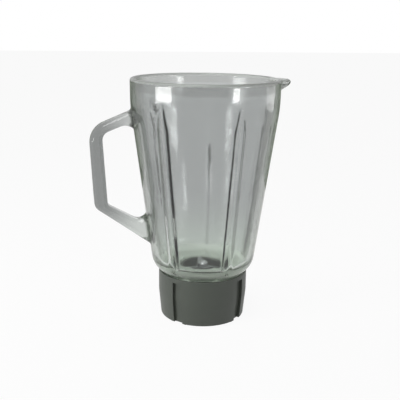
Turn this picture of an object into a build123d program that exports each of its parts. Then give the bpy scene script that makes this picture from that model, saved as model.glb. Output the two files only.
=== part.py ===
"""Blender jar: a pressed-glass jug that stands in a screw-on collar with its blade unit.

Millimetres, +Z up. The origin is on the jar's axis, on the plane that the collar stands on.
The handle points to -X and the pouring lip to +X.
"""

import os
from math import cos, radians, sin, tan

from build123d import *

# Fits
thread_clearance = 0.4
loose_clearance = 0.3
running_clearance = 0.04
press_clearance = 0.02
end_play = 0.2

# Spindle and its bearings
shaft_radius = 4.0
stud_radius = 3.0
spindle_shoulder = 1.6
spindle_shoulder_height = 1.6
bush_wall = 2.0
bush_length = 7.5
bush_flange = 2.0
bush_flange_height = 1.6
hub_wall = 2.6
seal_height = 3.0
seal_lip_depth = 1.2
washer_height = 0.8
washer_width = 3.0
clip_height = 1.0
clip_width = 2.4
clip_groove = 0.6
clip_opening = 60.0
clip_room = 1.0

# Blades, clamped on the stud above the spindle's shoulder
blade_thickness = 1.4
blade_width = 9.0
blade_tip_width = 3.0
blade_hub_radius = 6.5
upper_blade_lift = 14.0
lower_blade_drop = 9.0
blade_crossing = 90.0
blade_tip_gap = 1.4
nut_across_flats = 9.0
nut_height = 3.2
nut_dome = 2.0

# Drive coupling
coupling_lift = 2.5
coupling_height = 10.0
coupling_plate = 3.0
coupling_radius = 17.0
coupling_hub_wall = 3.2
coupling_teeth = 6
tooth_length = 4.6
tooth_width = 4.4
tooth_bevel = 0.8
shaft_end_cover = 2.0

# Clamped stack of the neck, from the standing plane up
skirt_depth = 21.0
web_thickness = 3.0
flange_thickness = 2.6
gasket_thickness = 2.0
neck_cover = 15.9

# Neck of the glass and what surrounds it
neck_radius = 31.5
neck_wall = 8.0
sleeve_wall = 3.0
sleeve_drop = 2.0
seat_width = 2.1
collar_gap = 4.1
collar_skin = 3.2

# Blade holder
cup_clearance = 1.6
cup_wall = 2.2
cup_rim_drop = 1.5
cup_depth = 10.5
cup_floor = 2.0
hub_rise = 3.4
flange_overlap = 5.6
holder_ribs = 6
holder_rib_thickness = 1.8

# Collar, outside
taper_height = 24.0
collar_taper = 2.3
taper_round = 60.0
collar_edge_round = 1.0
collar_top_round = 0.6
collar_land = 1.1
keyway_count = 4
keyway_first_angle = 45.0
keyway_width = 9.6
keyway_depth = 3.0
keyway_wall = 3.4
keyway_top_band = 4.5
keyway_lead_in = 2.4

# Glass jar, outside
jar_height = 225.0
rim_radius = 68.2
rim_round = 2.2
rim_flare = 0.2
bend_drop = 25.0
bend_round = 150.0
shoulder_overhang = 5.9
shoulder_slope = 45.0
shoulder_round = 20.0
neck_round = 1.5

# Glass jar, inside
rim_wall = 4.5
upper_wall = 5.0
lower_wall = 5.6
mouth_round = 60.0
floor_rise = 8.1
floor_slope = 6.0
floor_round = 14.0
throat_round = 2.0

# Flutes pressed into the glass
flute_angles = (0.0, 73.5, 134.5, 225.5, 286.5)
flute_width = 10.0
flute_depth = 2.5
flute_tip_drop = 10.0
flute_full_drop = 40.0
flute_foot_height = 2.2
flute_foot_width = 7.0
flute_point_drop = 4.5
flute_point_proud = 0.8

# Pouring lip: a blunt round nose with a leaning channel
lip_reach = 11.3
lip_radius = 13.0
lip_edge_height = 4.5
lip_root_drop = 7.0
lip_root_reach = 1.5
lip_top_round = 2.4
lip_edge_round = 4.0
lip_drop = 0.8
lip_wall = 7.0
lip_lean = 60.0
lip_length = 32.0

# Handle: corners of its side outline, as reach beyond the rim and height above or below a level
handle_width = 15.5
handle_bevel = 3.4
handle_inset = 2.4
upper_arm_reach, upper_arm_drop = 0.8, 29.0
handle_top_reach, handle_top_drop = 37.4, 44.4
gap_top_root_reach, gap_top_root_drop = 10.5, 43.5
gap_top_reach, gap_top_drop = 25.4, 49.5
handle_low_reach, handle_low_rise = 33.7, 63.6
lower_arm_reach, lower_arm_rise = -18.7, 26.2
gap_low_reach, gap_low_rise = 21.6, 65.6
gap_low_root_reach, gap_low_root_rise = -5.6, 50.6
handle_top_round = 20.0
handle_low_round = 9.0
gap_top_round = 8.0
gap_low_round = 4.0
upper_root_round = 5.0
gap_root_round = 11.0
lower_root_round = 9.0
handle_root_spread = 10.0

# Heights worked out from the stacks
web_top = skirt_depth + web_thickness
flange_top = web_top + flange_thickness
neck_foot = flange_top + gasket_thickness
collar_height = neck_foot + neck_cover
coupling_top = coupling_lift + coupling_height
clip_foot = coupling_top + clip_room
lower_washer_foot = clip_foot + clip_height
bush_foot = lower_washer_foot + washer_height + end_play
hub_foot = bush_foot + bush_flange_height

# Radii worked out from the neck and the spindle
throat_radius = neck_radius - neck_wall
sleeve_bore = neck_radius + thread_clearance
sleeve_radius = sleeve_bore + sleeve_wall
skin_bore = sleeve_radius + collar_gap
collar_radius = skin_bore + collar_skin
flange_radius = sleeve_bore - loose_clearance
web_bore = flange_radius - flange_overlap
cup_radius = throat_radius - cup_clearance
cup_bore = cup_radius - cup_wall
bush_bore = shaft_radius + running_clearance
bush_radius = bush_bore + bush_wall
hub_bore = bush_radius + press_clearance
hub_radius = hub_bore + hub_wall
blade_reach = cup_bore - blade_tip_gap
blade_bore = stud_radius + press_clearance
washer_radius = shaft_radius + washer_width


def along(low, high, height):
    """Radius at a height on the straight line through two corners."""
    return low[0] + (high[0] - low[0]) * (height - low[1]) / (high[1] - low[1])


def meet(a, b, c, d):
    """Corner where the line through a and b crosses the line through c and d."""
    first = (b[0] - a[0], b[1] - a[1])
    second = (d[0] - c[0], d[1] - c[1])
    across = first[0] * second[1] - first[1] * second[0]
    share = ((c[0] - a[0]) * second[1] - (c[1] - a[1]) * second[0]) / across
    return (a[0] + first[0] * share, a[1] + first[1] * share)


def finish(piece, name):
    """Name a finished piece and write its file."""
    piece.part.label = name
    export_step(piece.part, f"parts/{name}.step")


os.makedirs("parts", exist_ok=True)

# Corners of the glass section, as radius and height
neck_slope = tan(radians(shoulder_slope))
land_radius = collar_radius - collar_land
land_height = collar_height + thread_clearance
shoulder_corner = (
    collar_radius + shoulder_overhang,
    land_height + (shoulder_overhang + collar_land) * neck_slope,
)
seat_radius = sleeve_radius + seat_width
seat_corner = (seat_radius, land_height - (land_radius - seat_radius) * neck_slope)
neck_corner = (neck_radius, seat_corner[1])
bend_height = jar_height - bend_drop
bend_radius = rim_radius - rim_flare
bend_corner = (bend_radius, bend_height)
inner_low = (shoulder_corner[0] - lower_wall, shoulder_corner[1])
inner_high = (bend_radius - upper_wall, bend_height)
mouth_radius = rim_radius - rim_wall
mouth_corner = meet(inner_low, inner_high, (mouth_radius, 0), (mouth_radius, jar_height))
throat_top = neck_corner[1] + floor_rise
throat_corner = (throat_radius, throat_top)
floor_far = (neck_radius, throat_top + neck_wall * tan(radians(floor_slope)))
floor_corner = meet(inner_low, inner_high, throat_corner, floor_far)


def outer_wall(height):
    """Radius of the jar's outer cone."""
    return along(shoulder_corner, bend_corner, height)


def inner_wall(height):
    """Radius of the jar's inner cone."""
    return along(inner_low, inner_high, height)


# One flute: a V that is pressed in from outside and stands proud inside, pointed at its top
flute_slope = flute_width / 2 / flute_depth
flute_depths = (flute_depth, flute_depth, 0)
flute_full_height = jar_height - flute_full_drop
flute_tip_height = jar_height - flute_tip_drop


def flute_prism(wall, reach, foot):
    """V-shaped prism along a wall, with its point to the axis and its back this far behind the wall."""
    with BuildPart() as prism:
        for height, depth in zip((foot, flute_full_height, flute_tip_height), flute_depths):
            point = wall(height) - depth
            back = wall(height) + reach
            half = (back - point) * flute_slope
            with BuildSketch(Plane.XY.offset(height)):
                with BuildLine():
                    Polyline((point, 0), (back, half), (back, -half), close=True)
                make_face()
        loft(ruled=True)
    return prism.part


flute_groove = flute_prism(outer_wall, lower_wall, neck_corner[1])
flute_ridge = flute_prism(inner_wall, flute_depth / 2, floor_corner[1])

# Foot of a flute's ridge: it crosses the floor and hangs over the throat's edge in a point
foot_reach = floor_corner[0] - lower_wall / 2 - throat_radius + flute_point_proud
foot_half = flute_foot_width / 2 * (1 + throat_round / flute_foot_height)
point_face = Plane.YZ.offset(throat_radius - flute_point_proud)
with BuildPart() as flute_end:
    with BuildSketch(point_face):
        with BuildLine():
            Polyline(
                (foot_half, throat_top - throat_round),
                (0, throat_top + flute_foot_height),
                (-foot_half, throat_top - throat_round),
                close=True,
            )
        make_face()
    extrude(amount=foot_reach)
    with BuildSketch(point_face):
        with BuildLine():
            Polyline(
                (flute_foot_width / 2, throat_top),
                (-flute_foot_width / 2, throat_top),
                (0, throat_top - flute_point_drop),
                close=True,
            )
        make_face()
    extrude(amount=flute_point_proud + throat_round)

# Handle: the side outline with its finger gap, bevelled all round
upper_arm_root = (rim_radius + upper_arm_reach, jar_height - upper_arm_drop)
handle_top_corner = (rim_radius + handle_top_reach, jar_height - handle_top_drop)
gap_top_root = (rim_radius + gap_top_root_reach, jar_height - gap_top_root_drop)
gap_top_corner = (rim_radius + gap_top_reach, jar_height - gap_top_drop)
handle_low_corner = (rim_radius + handle_low_reach, collar_height + handle_low_rise)
lower_arm_root = (rim_radius + lower_arm_reach, collar_height + lower_arm_rise)
gap_low_corner = (rim_radius + gap_low_reach, collar_height + gap_low_rise)
gap_low_root = (rim_radius + gap_low_root_reach, collar_height + gap_low_root_rise)
wall_low = (shoulder_corner[0] - handle_inset, shoulder_corner[1])
wall_high = (bend_radius - handle_inset, bend_height)
upper_root = meet(upper_arm_root, handle_top_corner, wall_low, wall_high)
lower_root = meet(lower_arm_root, handle_low_corner, wall_low, wall_high)
upper_end = upper_root[1] + handle_root_spread
lower_end = lower_root[1] - handle_root_spread
handle_corners = (
    (throat_radius, upper_end),
    (along(wall_low, wall_high, upper_end), upper_end),
    upper_root,
    handle_top_corner,
    handle_low_corner,
    lower_root,
    (along(wall_low, wall_high, lower_end), lower_end),
    (throat_radius, lower_end),
)
gap_corners = (
    meet(gap_top_root, gap_top_corner, wall_low, wall_high),
    gap_top_corner,
    gap_low_corner,
    meet(gap_low_root, gap_low_corner, wall_low, wall_high),
)
with BuildPart() as handle:
    with BuildSketch(Plane.XZ):
        with BuildLine():
            FilletPolyline(
                [(-radius, height) for radius, height in handle_corners],
                radius=[0, 0, upper_root_round, handle_top_round, handle_low_round, lower_root_round, 0, 0],
                close=True,
            )
        make_face()
        with BuildLine():
            FilletPolyline(
                [(-radius, height) for radius, height in gap_corners],
                radius=[gap_root_round, gap_top_round, gap_low_round, lower_root_round],
                close=True,
            )
        make_face(mode=Mode.SUBTRACT)
    extrude(amount=handle_width / 2, both=True)
    chamfer(handle.faces().filter_by(Axis.Y).edges(), length=handle_bevel)

# Pouring lip: the nose and the channel inside it
lip_lean_angle = radians(lip_lean)
lip_tip = rim_radius + lip_reach
lip_top = jar_height - lip_drop
channel_radius = lip_radius - lip_wall
channel_axis = Plane(
    origin=(lip_tip - lip_wall - channel_radius / cos(lip_lean_angle), 0, lip_top),
    x_dir=(0, 1, 0),
    z_dir=(sin(lip_lean_angle), 0, cos(lip_lean_angle)),
)
lip_centre = lip_tip - lip_radius
lip_edge_foot = lip_top - lip_edge_height
with BuildPart() as lip_nose:
    with BuildSketch(Plane.XZ):
        with BuildLine():
            FilletPolyline(
                (lip_centre, lip_top),
                (lip_tip, lip_top),
                (lip_tip, lip_edge_foot),
                (rim_radius + lip_root_reach, lip_edge_foot - lip_root_drop),
                (lip_centre, lip_edge_foot - lip_root_drop),
                radius=[0, lip_top_round, lip_edge_round, 0, 0],
                close=True,
            )
        make_face()
    revolve(axis=Axis((lip_centre, 0, 0), (0, 0, 1)))
with BuildPart(channel_axis) as lip_channel:
    Cylinder(channel_radius, 2 * lip_length)

# Glass jar
with BuildPart() as glass_jar:
    with BuildSketch(Plane.XZ):
        with BuildLine():
            FilletPolyline(
                (0, neck_foot),
                (neck_radius, neck_foot),
                neck_corner,
                seat_corner,
                shoulder_corner,
                bend_corner,
                (rim_radius, jar_height),
                (0, jar_height),
                radius=[0, neck_round, neck_round, neck_round, shoulder_round, bend_round, rim_round, 0],
                close=True,
            )
        make_face()
    revolve(axis=Axis.Z)
    add(handle.part)
    add(lip_nose.part)
    with BuildSketch(Plane.XZ):
        with BuildLine():
            FilletPolyline(
                (0, neck_foot),
                (throat_radius, neck_foot),
                throat_corner,
                floor_corner,
                mouth_corner,
                (mouth_radius, jar_height),
                (rim_radius, jar_height),
                (rim_radius, jar_height + rim_wall),
                (0, jar_height + rim_wall),
                radius=[0, 0, throat_round, floor_round, mouth_round, rim_round, 0, 0, 0],
                close=True,
            )
        make_face()
    revolve(axis=Axis.Z, mode=Mode.SUBTRACT)
    add(lip_channel.part, mode=Mode.SUBTRACT)
    for angle in flute_angles:
        add(flute_ridge.rotate(Axis.Z, angle))
        add(flute_end.part.rotate(Axis.Z, angle))
        add(flute_groove.rotate(Axis.Z, angle), mode=Mode.SUBTRACT)
finish(glass_jar, "glass_jar")

# Locking collar: skin, web and threaded sleeve, with the keyways that seat it on a motor base
foot_radius = collar_radius - collar_taper
foot_bore = foot_radius - collar_skin
sleeve_top = seat_corner[1] - sleeve_drop
keyway_top = collar_height - keyway_top_band
keyway_roof = min(keyway_top + loose_clearance, seat_corner[1] - thread_clearance)
bevel_foot = collar_height - (land_radius - skin_bore) * neck_slope
skirt_bore = along((foot_bore, 0), (skin_bore, taper_height), skirt_depth)
keyway_back = skirt_bore + collar_skin - keyway_depth - keyway_wall
with BuildPart() as locking_collar:
    with BuildSketch(Plane.XZ):
        with BuildLine():
            FilletPolyline(
                (foot_bore, 0),
                (foot_radius, 0),
                (collar_radius, taper_height),
                (collar_radius, collar_height),
                (land_radius, collar_height),
                (skin_bore, bevel_foot),
                (skin_bore, web_top),
                (sleeve_radius, web_top),
                (sleeve_radius, sleeve_top),
                (sleeve_bore, sleeve_top),
                (sleeve_bore, web_top),
                (web_bore, web_top),
                (web_bore, skirt_depth),
                (skirt_bore, skirt_depth),
                radius=[0, collar_edge_round, taper_round, collar_top_round] + [0] * 10,
                close=True,
            )
        make_face()
    revolve(axis=Axis.Z)
    with BuildSketch(Plane.XZ):
        with BuildLine():
            Polyline(
                (foot_radius - keyway_depth - keyway_wall, 0),
                (foot_radius - collar_edge_round, 0),
                (collar_radius - collar_edge_round, taper_height),
                (collar_radius - collar_edge_round, keyway_roof),
                (sleeve_bore + sleeve_wall / 2, keyway_roof),
                (sleeve_bore + sleeve_wall / 2, skirt_depth),
                (keyway_back, skirt_depth),
                close=True,
            )
        make_face()
    keyway_block = extrude(amount=keyway_width / 2 + keyway_wall, both=True, mode=Mode.PRIVATE)
    with BuildSketch(Plane.XZ):
        with BuildLine():
            Polyline(
                (foot_radius - keyway_depth, 0),
                (collar_radius - keyway_depth, taper_height),
                (collar_radius - keyway_depth, keyway_top),
                (collar_radius + keyway_depth, keyway_top),
                (collar_radius + keyway_depth, 0),
                close=True,
            )
        make_face()
    keyway_slot = extrude(amount=keyway_width / 2, both=True, mode=Mode.PRIVATE)
    for turn in range(keyway_count):
        angle = keyway_first_angle + turn * 360 / keyway_count
        add(keyway_block.rotate(Axis.Z, angle))
        add(keyway_slot.rotate(Axis.Z, angle), mode=Mode.SUBTRACT)
finish(locking_collar, "locking_collar")

# Gasket between the neck and the blade holder
standing = (Align.CENTER, Align.CENTER, Align.MIN)
with BuildPart(Plane.XY.offset(flange_top)) as jar_gasket:
    Cylinder(neck_radius, gasket_thickness, align=standing)
    Cylinder(throat_radius, gasket_thickness, align=standing, mode=Mode.SUBTRACT)
finish(jar_gasket, "jar_gasket")

# Blade holder: cup in the throat, flange under the gasket and hub for the bearings
cup_rim = throat_top - cup_rim_drop
cup_floor_top = cup_rim - cup_depth
cup_floor_foot = cup_floor_top - cup_floor
hub_top = cup_floor_top + hub_rise
with BuildPart() as blade_holder:
    with BuildSketch(Plane.XZ):
        with BuildLine():
            Polyline(
                (hub_bore, hub_foot),
                (hub_radius, hub_foot),
                (hub_radius, cup_floor_foot),
                (cup_bore, cup_floor_foot),
                (cup_bore, web_top),
                (flange_radius, web_top),
                (flange_radius, flange_top),
                (cup_radius, flange_top),
                (cup_radius, cup_rim),
                (cup_bore, cup_rim),
                (cup_bore, cup_floor_top),
                (hub_radius, cup_floor_top),
                (hub_radius, hub_top),
                (hub_bore, hub_top),
                close=True,
            )
        make_face()
    revolve(axis=Axis.Z)
    rib_length = cup_bore - hub_radius + cup_wall
    with Locations((0, 0, web_top)):
        with PolarLocations((cup_bore + hub_radius) / 2, holder_ribs):
            Box(rib_length, holder_rib_thickness, cup_floor_top - web_top - cup_floor / 2, align=standing)
finish(blade_holder, "blade_holder")

# Plain bearings: the upper one stays under the seal, the lower one has its flange below the hub
seal_foot = hub_top - seal_height
with BuildPart(Plane.XY.offset(seal_foot - bush_length)) as upper_bush:
    Cylinder(bush_radius, bush_length, align=standing)
    Cylinder(bush_bore, bush_length, align=standing, mode=Mode.SUBTRACT)
finish(upper_bush, "upper_bush")

with BuildPart(Plane.XY.offset(bush_foot)) as lower_bush:
    Cylinder(bush_radius, bush_length, align=standing)
    Cylinder(bush_radius + bush_flange, bush_flange_height, align=standing)
    Cylinder(bush_bore, bush_length, align=standing, mode=Mode.SUBTRACT)
finish(lower_bush, "lower_bush")

# Lip seal with its open V upward
with BuildPart() as shaft_seal:
    with BuildSketch(Plane.XZ):
        with BuildLine():
            Polyline(
                (bush_bore, seal_foot),
                (bush_radius, seal_foot),
                (bush_radius, hub_top),
                (bush_bore + bush_wall / 2, hub_top - seal_lip_depth),
                (bush_bore, hub_top),
                close=True,
            )
        make_face()
    revolve(axis=Axis.Z)
finish(shaft_seal, "shaft_seal")

with BuildPart(Plane.XY.offset(hub_top)) as thrust_washer:
    Cylinder(washer_radius, washer_height, align=standing)
    Cylinder(shaft_radius + loose_clearance, washer_height, align=standing, mode=Mode.SUBTRACT)
finish(thrust_washer, "thrust_washer")

# Spindle: shaft with the clip's groove, shoulder and stud
shoulder_foot = hub_top + washer_height + end_play
blade_foot = shoulder_foot + spindle_shoulder_height
blade_washer_foot = blade_foot + 2 * blade_thickness
nut_foot = blade_washer_foot + washer_height
clip_bore = shaft_radius - clip_groove
with BuildPart() as blade_shaft:
    with BuildSketch(Plane.XZ):
        with BuildLine():
            Polyline(
                (0, coupling_lift + shaft_end_cover),
                (shaft_radius, coupling_lift + shaft_end_cover),
                (shaft_radius, clip_foot - press_clearance),
                (clip_bore - press_clearance, clip_foot - press_clearance),
                (clip_bore - press_clearance, lower_washer_foot),
                (shaft_radius, lower_washer_foot),
                (shaft_radius, shoulder_foot),
                (shaft_radius + spindle_shoulder, shoulder_foot),
                (shaft_radius + spindle_shoulder, blade_foot),
                (stud_radius, blade_foot),
                (stud_radius, nut_foot + nut_height - end_play),
                (0, nut_foot + nut_height - end_play),
                close=True,
            )
        make_face()
    revolve(axis=Axis.Z)
finish(blade_shaft, "blade_shaft")


def blade_section(rise):
    """Side view of a cutter whose arms bend up, or down for a negative rise."""
    with BuildSketch(Plane.XZ) as section:
        with BuildLine():
            Polyline(
                (-blade_reach, rise),
                (-blade_hub_radius, 0),
                (blade_hub_radius, 0),
                (blade_reach, rise),
                (blade_reach, rise + blade_thickness),
                (blade_hub_radius, blade_thickness),
                (-blade_hub_radius, blade_thickness),
                (-blade_reach, rise + blade_thickness),
                close=True,
            )
        make_face()
    return section.sketch


# Cutters: the strip is bent, then trimmed to its tapered outline
with BuildSketch() as blade_outline:
    with BuildLine():
        Polyline(
            (-blade_reach, -blade_tip_width / 2),
            (-blade_hub_radius, -blade_width / 2),
            (blade_hub_radius, -blade_width / 2),
            (blade_reach, -blade_tip_width / 2),
            (blade_reach, blade_tip_width / 2),
            (blade_hub_radius, blade_width / 2),
            (-blade_hub_radius, blade_width / 2),
            (-blade_reach, blade_tip_width / 2),
            close=True,
        )
    make_face()
    Circle(blade_hub_radius)
    Circle(blade_bore, mode=Mode.SUBTRACT)

arm_length = blade_reach - blade_hub_radius
with BuildPart() as lower_blade:
    extrude(blade_section(-arm_length * tan(radians(lower_blade_drop))), amount=blade_width, both=True)
    extrude(blade_outline.sketch, amount=blade_reach, both=True, mode=Mode.INTERSECT)
lower_blade.part.position = (0, 0, blade_foot)
finish(lower_blade, "lower_blade")

with BuildPart() as upper_blade:
    extrude(blade_section(arm_length * tan(radians(upper_blade_lift))), amount=blade_width, both=True)
    extrude(blade_outline.sketch, amount=blade_reach, both=True, mode=Mode.INTERSECT)
upper_blade.part.position = (0, 0, blade_foot + blade_thickness)
upper_blade.part.orientation = (0, 0, blade_crossing)
finish(upper_blade, "upper_blade")

with BuildPart(Plane.XY.offset(blade_washer_foot)) as blade_washer:
    Cylinder(nut_across_flats / 2 + washer_height, washer_height, align=standing)
    Cylinder(blade_bore, washer_height, align=standing, mode=Mode.SUBTRACT)
finish(blade_washer, "blade_washer")

# Domed nut
with BuildPart() as blade_nut:
    with BuildSketch(Plane.XY.offset(nut_foot)):
        RegularPolygon(nut_across_flats / 2, 6, major_radius=False)
    extrude(amount=nut_height)
    with BuildSketch(Plane.XZ):
        with BuildLine():
            Line((0, nut_foot + nut_height), (nut_across_flats / 2, nut_foot + nut_height))
            TangentArc(
                (0, nut_foot + nut_height + nut_dome),
                (nut_across_flats / 2, nut_foot + nut_height),
                tangent=(1, 0),
            )
            Line((0, nut_foot + nut_height + nut_dome), (0, nut_foot + nut_height))
        make_face()
    revolve(axis=Axis.Z)
    with Locations((0, 0, nut_foot)):
        Cylinder(blade_bore, nut_height, align=standing, mode=Mode.SUBTRACT)
finish(blade_nut, "blade_nut")

# Parts that keep the spindle in the hub
with BuildPart(Plane.XY.offset(lower_washer_foot)) as lower_washer:
    Cylinder(washer_radius, washer_height, align=standing)
    Cylinder(shaft_radius + press_clearance, washer_height, align=standing, mode=Mode.SUBTRACT)
finish(lower_washer, "lower_washer")

clip_radius = clip_bore + clip_width
half_opening = clip_radius * tan(radians(clip_opening / 2))
with BuildPart() as retaining_clip:
    with BuildSketch(Plane.XY.offset(clip_foot)):
        Circle(clip_radius)
        Circle(clip_bore, mode=Mode.SUBTRACT)
        with BuildLine():
            Polyline((0, 0), (clip_radius, half_opening), (clip_radius, -half_opening), close=True)
        make_face(mode=Mode.SUBTRACT)
    extrude(amount=clip_height)
finish(retaining_clip, "retaining_clip")

# Drive coupling: hub and plate with teeth that hang down to the motor's wheel
with BuildPart(Plane.XY.offset(coupling_lift)) as drive_coupling:
    Cylinder(shaft_radius + coupling_hub_wall, coupling_height, align=standing)
    with Locations((0, 0, coupling_height - coupling_plate)):
        Cylinder(coupling_radius, coupling_plate, align=standing)
    with PolarLocations(coupling_radius - tooth_length / 2, coupling_teeth):
        Box(tooth_length, tooth_width, coupling_height - coupling_plate / 2, align=standing)
    with Locations((0, 0, shaft_end_cover)):
        Cylinder(shaft_radius + press_clearance, coupling_height, align=standing, mode=Mode.SUBTRACT)
finish(drive_coupling, "drive_coupling")
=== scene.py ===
# %% [markdown]
# # A glass blender jar on its collar
#
# The solids come from the CAD model, in metres, and every finish is made here. The lesson goes from
# the camera to the light, then to the large glass jar, and last to the collar and the small parts of
# the blade unit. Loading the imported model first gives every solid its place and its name.

from math import atan, atan2, cos, degrees, radians, sin

import bpy
from mathutils import Matrix, Vector


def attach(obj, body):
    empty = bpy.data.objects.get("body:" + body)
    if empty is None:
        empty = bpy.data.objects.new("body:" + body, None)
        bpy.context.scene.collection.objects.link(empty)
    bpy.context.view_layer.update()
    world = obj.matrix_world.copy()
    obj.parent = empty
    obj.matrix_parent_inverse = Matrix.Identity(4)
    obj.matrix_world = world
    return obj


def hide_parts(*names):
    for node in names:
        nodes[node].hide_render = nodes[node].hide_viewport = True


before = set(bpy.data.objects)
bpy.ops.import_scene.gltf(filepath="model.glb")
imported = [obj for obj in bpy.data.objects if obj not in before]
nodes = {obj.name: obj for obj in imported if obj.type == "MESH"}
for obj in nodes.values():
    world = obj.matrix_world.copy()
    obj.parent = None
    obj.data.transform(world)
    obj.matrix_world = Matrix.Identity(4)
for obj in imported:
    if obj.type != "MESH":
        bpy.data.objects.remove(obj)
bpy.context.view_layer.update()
print("nodes:", sorted(nodes))

# %% [markdown]
# ## Camera
#
# A jar this size is photographed from about an arm's length, a little above the rim, so that the rim,
# the collar's top edge and its foot all show as ovals. Those three ovals together give the camera's
# height, distance and pitch, and the size of the picture gives the lens. The picture also leans by
# less than a degree, which is a roll of the camera. Placing the camera by these measured values, instead
# of by eye, makes every outline fall where it should.

# %% Place the camera
picture_pixels = 400
sensor_mm = 36
focal_pixels = 670
axis_offset_pixels = 3.8
camera_distance = 0.6113
camera_height = 0.2726
camera_turn = radians(-11.0)
camera_pitch = radians(-14.8)
camera_roll = radians(0.83)

camera_data = bpy.data.cameras.new("photo_camera")
camera_data.sensor_width = sensor_mm
camera_data.lens = sensor_mm * focal_pixels / picture_pixels
camera = bpy.data.objects.new("photo_camera", camera_data)
bpy.context.scene.collection.objects.link(camera)
yaw = camera_turn + atan(axis_offset_pixels / focal_pixels)
stand = Vector((camera_distance * sin(camera_turn), -camera_distance * cos(camera_turn), camera_height))
camera.matrix_world = (
    Matrix.Translation(stand)
    @ Matrix.Rotation(yaw, 4, "Z")
    @ Matrix.Rotation(radians(90) + camera_pitch, 4, "X")
    @ Matrix.Rotation(camera_roll, 4, "Z")
)
bpy.context.scene.camera = camera
print("lens", round(camera_data.lens, 1), "mm, yaw", round(degrees(yaw), 2))

# %% [markdown]
# ## Colours and nodes
#
# Colours are written as sRGB hex values, but the shader works in linear light, so one function turns
# one into the other. A second small function adds a node, sets it up and links its inputs, which keeps
# each material readable as a list of nodes.

# %% Three helpers


def colour(code):
    """Linear colour with full alpha from an sRGB hex value."""
    parts = [int(code[i : i + 2], 16) / 255 for i in (1, 3, 5)]
    return [p / 12.92 if p <= 0.04045 else ((p + 0.055) / 1.055) ** 2.4 for p in parts] + [1]


def add_node(tree, kind, links=None, values=None, **settings):
    """Add a node, set its properties and socket values, and link its inputs from other nodes' outputs."""
    node = tree.nodes.new(kind)
    for name, value in settings.items():
        setattr(node, name, value)
    for socket, value in (values or {}).items():
        node.inputs[socket].default_value = value
    for socket, (source, output) in (links or {}).items():
        tree.links.new(source.outputs[output], node.inputs[socket])
    return node


def new_material(name):
    """Node material with an empty tree."""
    material = bpy.data.materials.new(name)
    material.use_nodes = True
    material.node_tree.nodes.clear()
    return material, material.node_tree


print("mid grey:", [round(v, 3) for v in colour("#808080")])

# %% [markdown]
# ## White surroundings
#
# The jar is shown against plain white. More light on the jar would whiten the background too, but it
# would bleach the glass. So the world asks what kind of ray looks at it: rays from the camera, from a
# gloss or through the glass see white at a strength of one, and the light that falls on the jar stays
# moderate.

# %% White world
world_light = 0.35
white = 1.0


def background_rays(tree):
    """One for rays from the camera, from a gloss or through glass, and zero for all others."""
    ray = add_node(tree, "ShaderNodeLightPath")
    seen = add_node(
        tree, "ShaderNodeMath", {0: (ray, "Is Camera Ray"), 1: (ray, "Is Glossy Ray")}, operation="MAXIMUM"
    )
    return add_node(
        tree, "ShaderNodeMath", {0: (seen, 0), 1: (ray, "Is Transmission Ray")}, operation="MAXIMUM"
    )


world = bpy.data.worlds.new("studio")
bpy.context.scene.world = world
world.use_nodes = True
tree = world.node_tree
tree.nodes.clear()
strength = add_node(tree, "ShaderNodeMapRange", {0: (background_rays(tree), 0)}, {3: world_light, 4: white})
sky = add_node(tree, "ShaderNodeBackground", {"Strength": (strength, 0)}, {"Color": colour("#ffffff")})
add_node(tree, "ShaderNodeOutputWorld", {"Surface": (sky, 0)})
print("world nodes:", len(tree.nodes))

# %% [markdown]
# ## Floor
#
# The jar stands on a wide sheet of white paper. Most of what the camera sees of it is a plain white glow,
# so that it meets the world without an edge, and the small rest is real paper that keeps the jar's shadow.

# %% Paper floor
glow_share = 0.92
floor_drop = 0.0005
floor_corners = [(-4, -4, 0), (4, -4, 0), (4, 6, 0), (-4, 6, 0)]

floor_mesh = bpy.data.meshes.new("floor")
floor_mesh.from_pydata(floor_corners, [], [(0, 1, 2, 3)])
floor = bpy.data.objects.new("floor", floor_mesh)
bpy.context.scene.collection.objects.link(floor)
floor.location.z = -floor_drop

floor_paper, tree = new_material("white_paper_floor")
seen = background_rays(tree)
share = add_node(tree, "ShaderNodeMath", {0: (seen, 0)}, {1: glow_share}, operation="MULTIPLY")
paper = add_node(tree, "ShaderNodeBsdfDiffuse", None, {"Color": colour("#f4f4f4")})
glow = add_node(tree, "ShaderNodeEmission", None, {"Color": colour("#ffffff"), "Strength": white})
mixed = add_node(tree, "ShaderNodeMixShader", {0: (share, 0), 1: (paper, 0), 2: (glow, 0)})
add_node(tree, "ShaderNodeOutputMaterial", {"Surface": (mixed, 0)})
floor_mesh.materials.append(floor_paper)
print("floor at", floor.location.z)

# %% [markdown]
# ## Light
#
# Clear glass has hardly any colour of its own, so its shape shows by what it reflects. In a studio, bright
# cards stand round it. Here each card is an area light that only reflections see: the low ones give the
# bright patches under the rim, and the raised ones give the pale streaks beside the flutes, which are
# reflections in the far wall. A lamp that lit everything would give the same patches, but would bleach
# the collar as well. So two fills light the collar, and the glass doesn't reflect the left one.

# %% Cards and fills
aim_point = Vector((0, 0, 0.12))


def softbox(name, turn, distance, height, size, power):
    """Rectangular light at an angle in degrees from the front, in metres and watts, aimed at the jar."""
    data = bpy.data.lights.new(name, "AREA")
    data.shape = "RECTANGLE"
    data.size, data.size_y = size
    data.energy = power
    lamp = bpy.data.objects.new(name, data)
    bpy.context.scene.collection.objects.link(lamp)
    lamp.location = (distance * sin(radians(turn)), -distance * cos(radians(turn)), height)
    lamp.rotation_euler = (aim_point - lamp.location).to_track_quat("-Z", "Y").to_euler()
    print(name, [round(v, 2) for v in lamp.location], power, "W")
    return lamp


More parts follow.
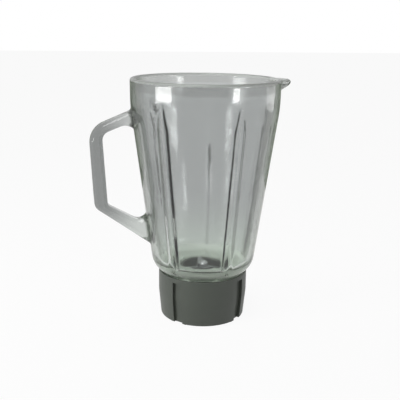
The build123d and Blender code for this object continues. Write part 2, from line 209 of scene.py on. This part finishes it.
cards = [
    softbox("left_card", -73, 1.0, 0.118, (0.46, 0.075), 1.3),
    softbox("right_card", 35, 1.1, 0.118, (0.20, 0.075), 0.60),
    softbox("left_streak_card", 51, 1.1, 0.275, (0.22, 0.09), 1.1),
    softbox("right_streak_card", -60, 1.1, 0.275, (0.15, 0.08), 0.65),
    softbox("side_card", 105, 1.0, 0.075, (0.5, 0.11), 0.33),
]
for card in cards:
    card.visible_diffuse = False
left_fill = softbox("left_fill", -73, 1.0, 0.24, (0.42, 0.5), 6)
left_fill.visible_glossy = left_fill.visible_transmission = False
softbox("top_light", -40, 0.5, 1.3, (0.6, 0.6), 5)

# %% [markdown]
# ## Flags
#
# Seen at a flat angle, glass reflects like a mirror, so against white its edges would turn pale. A
# photographer stands a dark sheet, called a flag, behind the glass at each side, just outside the picture,
# and the edges turn grey. These two flags are upright sheets that only reflections see.

# %% Two flags
flag_distance = 0.45
flag_half_width = 0.17
flag_height = 0.26
flag_turns = {"left_flag": -151, "right_flag": 129}

flag_card, tree = new_material("grey_felt_flag")
felt = add_node(tree, "ShaderNodeBsdfDiffuse", None, {"Color": colour("#a6aea2")})
add_node(tree, "ShaderNodeOutputMaterial", {"Surface": (felt, 0)})
for name, angle in flag_turns.items():
    turn = radians(angle)
    middle = Vector((sin(turn), -cos(turn), 0)) * flag_distance
    aside = Vector((cos(turn), sin(turn), 0)) * flag_half_width
    up = Vector((0, 0, flag_height))
    flag_mesh = bpy.data.meshes.new(name)
    flag_mesh.from_pydata(
        [middle - aside, middle + aside, middle + aside + up, middle - aside + up], [], [(0, 1, 2, 3)]
    )
    flag_mesh.materials.append(flag_card)
    flag = bpy.data.objects.new(name, flag_mesh)
    bpy.context.scene.collection.objects.link(flag)
    flag.visible_camera = flag.visible_transmission = flag.visible_diffuse = flag.visible_shadow = False
    print(name, "at", [round(v, 2) for v in middle])

# %% [markdown]
# ## The pressed form
#
# A pressed jar leaves its mould while the glass is still hot, so every edge is a little soft. The CAD solid
# has crisp flutes. A bevel softens plain edges but fails where a flute runs out to a point, so a copy of
# the mesh is rebuilt in small even faces, by a voxel remesh, and then relaxed a few times. The copy is
# turned before the remesh and turned back after it, because a groove that runs along the voxel grid would
# show steps. The jar casts no shadow of its own: the renderer would make the shadow of clear glass black.

# %% Soften the pressed edges
face_size = 0.0009
relax_share, relax_rounds = 0.5, 6
grid_turn = Matrix.Rotation(radians(30), 4, "Z") @ Matrix.Rotation(radians(17), 4, "X")

jar_mesh = nodes["glass_jar"].data.copy()
jar_mesh.transform(grid_turn)
pressed_jar = bpy.data.objects.new("pressed_jar", jar_mesh)
bpy.context.scene.collection.objects.link(pressed_jar)
remesh = pressed_jar.modifiers.new("even_faces", "REMESH")
remesh.mode = "VOXEL"
remesh.voxel_size = face_size
relax = pressed_jar.modifiers.new("relaxed", "SMOOTH")
relax.factor, relax.iterations = relax_share, relax_rounds
depsgraph = bpy.context.evaluated_depsgraph_get()
soft_mesh = bpy.data.meshes.new_from_object(pressed_jar.evaluated_get(depsgraph))
soft_mesh.transform(grid_turn.inverted())
soft_mesh.shade_smooth()
pressed_jar.modifiers.clear()
pressed_jar.data = soft_mesh
pressed_jar.visible_shadow = False
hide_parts("glass_jar")
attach(pressed_jar, "jar")
print("jar faces:", len(soft_mesh.polygons))

# %% [markdown]
# ## The creases of the flutes, painted as dark shade lines
#
# Seen through the glass, the sharp foot of a V-shaped flute turns the light away, so a flute on the far
# side of the jar shows as one thin dark line, boldest high on the wall. The relaxed mesh is too soft for
# that. Instead, each point of the outer face gets a weight by its distance from the nearest crease, and
# the glass paints that weight into its tint as a dark shade line, where light leaves it from within.

# %% Weigh the points near a crease
flute_angles = (0, 73.5, 134.5, 225.5, 286.5)
crease_foot, crease_tip = 0.050, 0.157
boldest_height, bold_reach, tip_reach = 0.141, 0.020, 0.003
line_half_width, line_softness = 0.0013, 0.0007
faintest, bold_peak = 0.4, 1.5

# The weight says how dark the painted shade line is at each point.
crease_shade = soft_mesh.attributes.new("crease_shade", "FLOAT", "POINT")
marked = 0
for vertex in soft_mesh.vertices:
    spot = vertex.co
    outside = spot.xy.dot(vertex.normal.xy) >= 0
    if not outside or not crease_foot < spot.z < crease_tip:
        continue
    turn = degrees(atan2(spot.y, spot.x))
    off_crease = radians(min(abs((turn - angle + 180) % 360 - 180) for angle in flute_angles))
    near = (line_half_width - spot.xy.length * off_crease) / line_softness
    if near > 0:
        bold = min(1, max(faintest, bold_peak - abs(spot.z - boldest_height) / bold_reach))
        tip = min(1, (crease_tip - spot.z) / tip_reach)
        crease_shade.data[vertex.index].value = bold * tip * min(1, near)
        marked += 1
print("points near a crease:", marked)

# %% [markdown]
# ## Pressed glass
#
# The jar is soda-lime glass with an index of refraction of 1.52. The mould leaves its skin slightly wavy,
# which a soft noise gives as bump, and years of washing dull it a little. The tint is set at the surface by
# zones, because the eye reads it so: grey on the wall, lighter in the thick foot, where the lighter tint is
# painted light for the brightness that the thick glass gathers from round about, darker in the rim's bead and
# the handle, and grey-green towards the sides, where one looks through the wall lengthwise. For the sides,
# Layer
# Weight takes the direction straight out from the jar's axis in place of the surface's own, so that the
# flutes don't darken with them. The crease weight paints a dark shade line into the tint. A faint absorption
# inside the glass makes thick places deeper.

# %% Zones of the glass
wave_size = 0.014
wall_low, wall_high = (0.0634, 0.0496), (0.1986, 0.0676)
wall_skin, wall_clear = 0.0006, 0.0035
slant_start, slant_end = 0.40, 0.80

pressed_glass, tree = new_material("pressed_soda_lime_glass")
place = add_node(tree, "ShaderNodeTexCoord")
spot = add_node(tree, "ShaderNodeSeparateXYZ", {"Vector": (place, "Object")})
fades = {"painted_light_foot": ("Z", 0.115, 0.050), "bead": ("Z", 0.213, 0.2165), "grip": ("X", -0.060, -0.098)}
zones = {}
for name, (axis, start, end) in fades.items():
    zones[name] = add_node(
        tree, "ShaderNodeMapRange", {0: (spot, axis)}, {1: start, 2: end}, interpolation_type="SMOOTHSTEP"
    )
level = add_node(tree, "ShaderNodeVectorMath", {0: (place, "Object")}, {1: (1, 1, 0)}, operation="MULTIPLY")
outward = add_node(tree, "ShaderNodeVectorMath", {0: (level, 0)}, operation="NORMALIZE")
side = add_node(tree, "ShaderNodeLayerWeight", {"Normal": (outward, 0)}, {"Blend": 0.5})
slant = add_node(
    tree,
    "ShaderNodeMapRange",
    {0: (side, "Facing")},
    {1: slant_start, 2: slant_end},
    interpolation_type="SMOOTHSTEP",
)
wall = add_node(
    tree,
    "ShaderNodeMapRange",
    {0: (spot, "Z")},
    {1: wall_low[0], 2: wall_high[0], 3: wall_low[1], 4: wall_high[1]},
)
radius = add_node(tree, "ShaderNodeVectorMath", {0: (level, 0)}, operation="LENGTH")
past_wall = add_node(tree, "ShaderNodeMath", {0: (radius, "Value"), 1: (wall, 0)}, operation="SUBTRACT")
on_wall = add_node(
    tree, "ShaderNodeMapRange", {0: (past_wall, 0)}, {1: wall_skin, 2: wall_clear, 3: 1.0, 4: 0.0}
)
zones["side"] = add_node(tree, "ShaderNodeMath", {0: (slant, 0), 1: (on_wall, 0)}, operation="MULTIPLY")
# The crease weight paints a dark shade line into the tint where light leaves the glass from within.
line = add_node(tree, "ShaderNodeAttribute", attribute_name="crease_shade")
within = add_node(tree, "ShaderNodeNewGeometry")
zones["crease_shade"] = add_node(
    tree, "ShaderNodeMath", {0: (line, "Fac"), 1: (within, "Backfacing")}, operation="MULTIPLY"
)
print("zones:", list(zones))

# %% Glass shader
glass_ior, glass_roughness = 1.52, 0.09
wave_strength, wave_depth = 0.30, 0.0008
cast_density = 18.0
wall_tint = "#cdcfcf"
# The foot's light tint is painted light for the brightness the thick foot gathers, and the crease tint is a
# painted shade line.
zone_tints = {"painted_light_foot": "#dce2dd", "bead": "#bdbfbe", "side": "#5c6557", "grip": "#919393", "crease_shade": "#1c201b"}

tint = None
for name, code in zone_tints.items():
    links, values = {"Factor": (zones[name], 0)}, {6: colour(wall_tint), 7: colour(code)}
    if tint:
        links[6] = (tint, 2)
    tint = add_node(tree, "ShaderNodeMix", links, values, data_type="RGBA")
waves = add_node(
    tree, "ShaderNodeTexNoise", {"Vector": (place, "Object")}, {"Scale": 1 / wave_size, "Detail": 1.5}
)
bump = add_node(
    tree,
    "ShaderNodeBump",
    {"Height": (waves, "Fac")},
    {"Strength": wave_strength, "Distance": wave_depth},
)
glass = add_node(
    tree,
    "ShaderNodeBsdfPrincipled",
    {"Base Color": (tint, 2), "Normal": (bump, 0)},
    {"Roughness": glass_roughness, "IOR": glass_ior, "Transmission Weight": 1.0},
)
cast = add_node(
    tree, "ShaderNodeVolumeAbsorption", None, {"Color": colour("#bcc2b8"), "Density": cast_density}
)
add_node(tree, "ShaderNodeOutputMaterial", {"Surface": (glass, 0), "Volume": (cast, 0)})
print("glass nodes:", len(tree.nodes))

# %% [markdown]
# ## Dulled glass
#
# Three places of the jar aren't clear. The seat under the shoulder is ground flat, which leaves it frosted.
# The floor is scuffed by what the blades throw about, and the rim is worn by its lid. Each is the same glass
# with a rough, partly opaque skin and fine scratches. The real scratches are far below a tenth of a
# millimetre, so they are drawn as coarse as they need to show.

# %% Ground, scuffed and worn glass
scratch_strength, scratch_depth = 0.35, 0.0001


def dulled_glass(name, code, dark, roughness, clear_share, scratch_mm):
    """Glass with a rough skin that lets this share of the light through."""
    material, tree = new_material(name)
    place = add_node(tree, "ShaderNodeTexCoord")
    scratch = add_node(
        tree, "ShaderNodeTexNoise", {"Vector": (place, "Object")}, {"Scale": 1000 / scratch_mm, "Detail": 3.0}
    )
    tones = {6: colour(dark), 7: colour(code)}
    tone = add_node(tree, "ShaderNodeMix", {"Factor": (scratch, "Fac")}, tones, data_type="RGBA")
    bump = add_node(
        tree,
        "ShaderNodeBump",
        {"Height": (scratch, "Fac")},
        {"Strength": scratch_strength, "Distance": scratch_depth},
    )
    skin = add_node(
        tree,
        "ShaderNodeBsdfPrincipled",
        {"Base Color": (tone, 2), "Normal": (bump, 0)},
        {"Roughness": roughness, "IOR": glass_ior, "Transmission Weight": clear_share},
    )
    add_node(tree, "ShaderNodeOutputMaterial", {"Surface": (skin, 0)})
    print(name, "scratches", scratch_mm, "mm")
    return material


ground_seat = dulled_glass("ground_glass_seat", "#e8ede6", "#e0e5de", 0.75, 0.25, 0.8)
scuffed_floor = dulled_glass("scuffed_glass_floor", "#dce4da", "#d4dcd2", 0.35, 0.5, 1.5)
worn_rim = dulled_glass("worn_glass_rim", "#c2c6c2", "#babeba", 0.35, 0.6, 1.5)

# %% [markdown]
# ## Moulded plastics and rubber
#
# The collar and the blade holder are injection-moulded ABS. The mould is spark-eroded, so the surface has a
# fine, even grain that spreads the light into a soft sheen. The same build with other colours gives the
# coupling in nylon, the thrust washer in acetal and, with less gloss, the rubber of the gasket and the seal.
# A noise with the grain's size drives both the bump and the gloss, so that they agree, and a slow drift of
# colour breaks up large faces. The real grain is about a tenth of a millimetre and is drawn coarser to show.

# %% Grained materials
drift_size = 0.03
grain_strength, grain_gloss = 0.35, 0.06
plastic_ior = 1.50


def grained(name, code, dark, roughness, grain_mm, depth_mm):
    """Moulded surface: an even grain of this size, and a slow drift between two colours."""
    material, tree = new_material(name)
    place = add_node(tree, "ShaderNodeTexCoord")
    grain = add_node(
        tree, "ShaderNodeTexNoise", {"Vector": (place, "Object")}, {"Scale": 1000 / grain_mm, "Detail": 2.0}
    )
    drift = add_node(
        tree, "ShaderNodeTexNoise", {"Vector": (place, "Object")}, {"Scale": 1 / drift_size, "Detail": 2.0}
    )
    tones = {6: colour(dark), 7: colour(code)}
    tone = add_node(tree, "ShaderNodeMix", {"Factor": (drift, "Fac")}, tones, data_type="RGBA")
    sheen = add_node(
        tree,
        "ShaderNodeMapRange",
        {0: (grain, "Fac")},
        {3: roughness - grain_gloss, 4: roughness + grain_gloss},
    )
    bump = add_node(
        tree,
        "ShaderNodeBump",
        {"Height": (grain, "Fac")},
        {"Strength": grain_strength, "Distance": depth_mm / 1000},
    )
    shader = add_node(
        tree,
        "ShaderNodeBsdfPrincipled",
        {"Base Color": (tone, 2), "Roughness": (sheen, 0), "Normal": (bump, 0)},
        {"IOR": plastic_ior},
    )
    add_node(tree, "ShaderNodeOutputMaterial", {"Surface": (shader, 0)})
    print(name, "grain", grain_mm, "mm")
    return material


grey_abs = grained("moulded_grey_abs", "#4a4f48", "#424740", 0.48, 0.9, 0.05)
black_nylon = grained("moulded_black_nylon", "#2b2b2a", "#232322", 0.45, 0.8, 0.05)
white_acetal = grained("moulded_white_acetal", "#dcdbd5", "#d2d1ca", 0.40, 0.8, 0.03)
grey_silicone = grained("moulded_grey_silicone", "#e2e3de", "#d8d9d3", 0.60, 1.2, 0.05)
black_nitrile = grained("moulded_black_nitrile", "#1e1e1e", "#181818", 0.65, 1.2, 0.05)

# %% [markdown]
# ## Metals
#
# The cutters are ground stainless sheet, with fine lines across the blade. The shaft, nut and washers are
# turned, so their lines run round the axis. The bushes are sintered bronze, a dull porous yellow. A noise
# that is squeezed along one direction of the object's own space gives the lines. An image of brushed metal
# could too, but it would have to be unwrapped on to each small part. The real lines are finer and are drawn
# coarser to show.

# %% Metal materials
line_strength, line_depth, line_gloss = 0.25, 0.00002, 0.08


def lined_metal(name, code, dark, roughness, line_mm, squeeze):
    """Metal whose fine lines come from a noise that is stretched by these factors along X, Y and Z."""
    material, tree = new_material(name)
    place = add_node(tree, "ShaderNodeTexCoord")
    stretched = add_node(tree, "ShaderNodeMapping", {"Vector": (place, "Object")}, {"Scale": squeeze})
    lines = add_node(
        tree, "ShaderNodeTexNoise", {"Vector": (stretched, 0)}, {"Scale": 1000 / line_mm, "Detail": 3.0}
    )
    tones = {6: colour(dark), 7: colour(code)}
    tone = add_node(tree, "ShaderNodeMix", {"Factor": (lines, "Fac")}, tones, data_type="RGBA")
    sheen = add_node(
        tree,
        "ShaderNodeMapRange",
        {0: (lines, "Fac")},
        {3: roughness - line_gloss, 4: roughness + line_gloss},
    )
    bump = add_node(
        tree,
        "ShaderNodeBump",
        {"Height": (lines, "Fac")},
        {"Strength": line_strength, "Distance": line_depth},
    )
    shader = add_node(
        tree,
        "ShaderNodeBsdfPrincipled",
        {"Base Color": (tone, 2), "Roughness": (sheen, 0), "Normal": (bump, 0)},
        {"Metallic": 1.0},
    )
    add_node(tree, "ShaderNodeOutputMaterial", {"Surface": (shader, 0)})
    print(name, "lines", line_mm, "mm")
    return material


ground_steel = lined_metal("ground_stainless_steel", "#a6a7a8", "#8f9091", 0.34, 0.5, (1, 1, 0.2))
turned_steel = lined_metal("turned_stainless_steel", "#c6c6c8", "#b0b0b3", 0.26, 0.4, (0.1, 0.1, 1))
bronze = lined_metal("sintered_bronze", "#b08a58", "#97733f", 0.45, 0.6, (1, 1, 1))

# %% [markdown]
# ## Hand out the materials
#
# Each CAD solid keeps its shape and takes the material of the real piece. Only the jar is a piece of this
# scene, so its materials follow in a step of their own.

# %% Assign materials
finishes = {
    "locking_collar": grey_abs,
    "jar_gasket": grey_silicone,
    "blade_holder": grey_abs,
    "upper_bush": bronze,
    "lower_bush": bronze,
    "shaft_seal": black_nitrile,
    "thrust_washer": white_acetal,
    "blade_shaft": turned_steel,
    "lower_blade": ground_steel,
    "upper_blade": ground_steel,
    "blade_washer": turned_steel,
    "blade_nut": turned_steel,
    "lower_washer": turned_steel,
    "retaining_clip": turned_steel,
    "drive_coupling": black_nylon,
}
for name, material in finishes.items():
    nodes[name].data.materials.clear()
    nodes[name].data.materials.append(material)
print("finished:", len(finishes), "of", len(nodes), "solids, and the jar follows")

# %% [markdown]
# ## Share out the jar's faces
#
# Ground, scuffed and worn glass belong to small places of one piece of glass. Cutting the jar into pieces
# would put walls inside the glass, so each face takes its material by where it lies: its height, and its
# distance from the axis.

# %% Jar materials by place
seat_top, seat_inner = 0.0442, 0.0262
floor_low, floor_top, floor_inner, floor_outer = 0.0470, 0.0560, 0.0232, 0.0410
point_low, point_inner = 0.0440, 0.0215
rim_low = 0.2226
level_enough = 0.5
clear, ground, scuffed, worn = range(4)

jar_finishes = [pressed_glass, ground_seat, scuffed_floor, worn_rim]
soft_mesh.materials.clear()
for material in jar_finishes:
    soft_mesh.materials.append(material)
counts = [0] * len(jar_finishes)
for face in soft_mesh.polygons:
    height, reach = face.center.z, face.center.xy.length
    on_seat = height < seat_top and reach > seat_inner
    on_floor = floor_low < height < floor_top and floor_inner < reach < floor_outer
    on_floor = on_floor and face.normal.z > level_enough
    on_point = point_low < height < floor_top and point_inner < reach <= floor_inner
    if on_seat:
        face.material_index = ground
    elif on_floor or on_point:
        face.material_index = scuffed
    else:
        face.material_index = worn if height > rim_low else clear
    counts[face.material_index] += 1
print("clear, ground, scuffed and worn faces:", counts)

# %% [markdown]
# ## Finish
#
# The view transform stays plain, so that a colour renders about as it is written.

# %% View settings
bpy.context.scene.view_settings.view_transform = "Standard"
